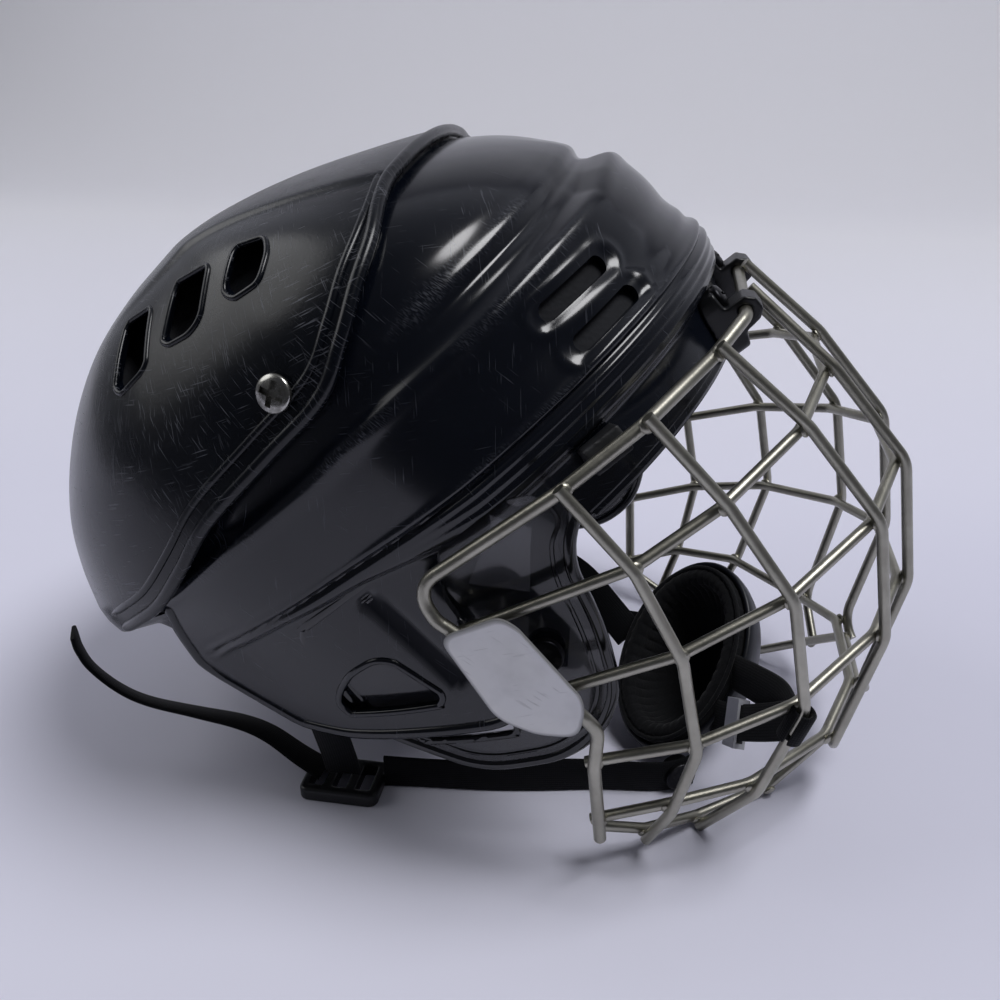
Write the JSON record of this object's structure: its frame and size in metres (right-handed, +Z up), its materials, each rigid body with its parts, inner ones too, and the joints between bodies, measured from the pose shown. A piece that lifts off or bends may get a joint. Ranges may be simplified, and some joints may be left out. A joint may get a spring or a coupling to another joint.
{
  "type": "ice hockey helmet",
  "caption": "Ice hockey helmet with a two-part plastic shell, a swinging welded wire face cage, ear guards, foam liner, chin straps and a padded chin cup.",
  "frame": {"origin": "centre of the whole object's bounding box, on the floor it stands on", "axes": "+X towards the front of the helmet along the floor, +Y to the wearer's left, +Z up; the helmet leans back on its cage and buckles"},
  "size_m": [0.294, 0.2036, 0.2148],
  "materials": {
    "gloss_shell": "gloss",
    "satin_shell": "satin",
    "foam": "matt",
    "smoked_plastic": "gloss",
    "pad_fabric": "matt",
    "webbing": "matt",
    "dark_metal": "satin",
    "nut_steel": "satin",
    "clip_plastic": "satin",
    "rest_rubber": "matt",
    "white_plate": "satin",
    "white_slider": "satin",
    "cage_steel": "satin"
  },
  "bodies": {
    "shell": {"cage_clip_left": "clip_plastic", "cage_clip_right": "clip_plastic", "chin_snap_left": "dark_metal", "chin_snap_right": "dark_metal", "chin_strap_left": "webbing", "chin_strap_right": "webbing", "clip_screw_left": "dark_metal", "clip_screw_right": "dark_metal", "ear_guard_left": "smoked_plastic", "ear_guard_right": "smoked_plastic", "ear_pad_left": "pad_fabric", "ear_pad_right": "pad_fabric", "ear_snap_left": "dark_metal", "ear_snap_right": "dark_metal", "ear_strap_left": "webbing", "ear_strap_right": "webbing", "front_shell": "gloss_shell", "liner_crown": "foam", "liner_front": "foam", "liner_side_left": "foam", "liner_side_right": "foam", "rim_rest_left": "rest_rubber", "rim_rest_right": "rest_rubber", "strap_buckle_left": "clip_plastic", "strap_buckle_right": "clip_plastic", "strap_hanger_left": "webbing", "strap_hanger_right": "webbing", "strap_tail": "webbing"},
    "rear_shell": {"liner_rear": "foam", "rear_shell": "satin_shell", "side_screw_left": "dark_metal", "side_screw_right": "dark_metal", "side_t_nut_left": "nut_steel", "side_t_nut_right": "nut_steel"},
    "cage": {"cage_bar_1": "cage_steel", "cage_bar_2": "cage_steel", "cage_bar_3": "cage_steel", "cage_bar_4": "cage_steel", "cage_bottom": "cage_steel", "cage_rim": "cage_steel", "cage_upright_1_left": "cage_steel", "cage_upright_1_right": "cage_steel", "cage_upright_2_left": "cage_steel", "cage_upright_2_right": "cage_steel", "cage_upright_3_left": "cage_steel", "cage_upright_3_right": "cage_steel", "cage_upright_4_left": "cage_steel", "cage_upright_4_right": "cage_steel", "chin_cup": "clip_plastic", "cup_loose_strap": "webbing", "cup_pad": "pad_fabric", "cup_slider": "white_slider", "cup_strap": "webbing", "side_plate_left": "white_plate", "side_plate_right": "white_plate"}
  },
  "joints": [
    {"name": "cage_hinge", "type": "hinge", "parent": "shell", "child": "cage", "pos_m": [0.08335, 0, 0.16796], "axis": [0, -1, 0], "range_deg": [0, 100]},
    {"name": "size_slide", "type": "slide", "parent": "shell", "child": "rear_shell", "axis": [-0.9563, 0, -0.2924], "range_m": [0, 0.008]}
  ]
}
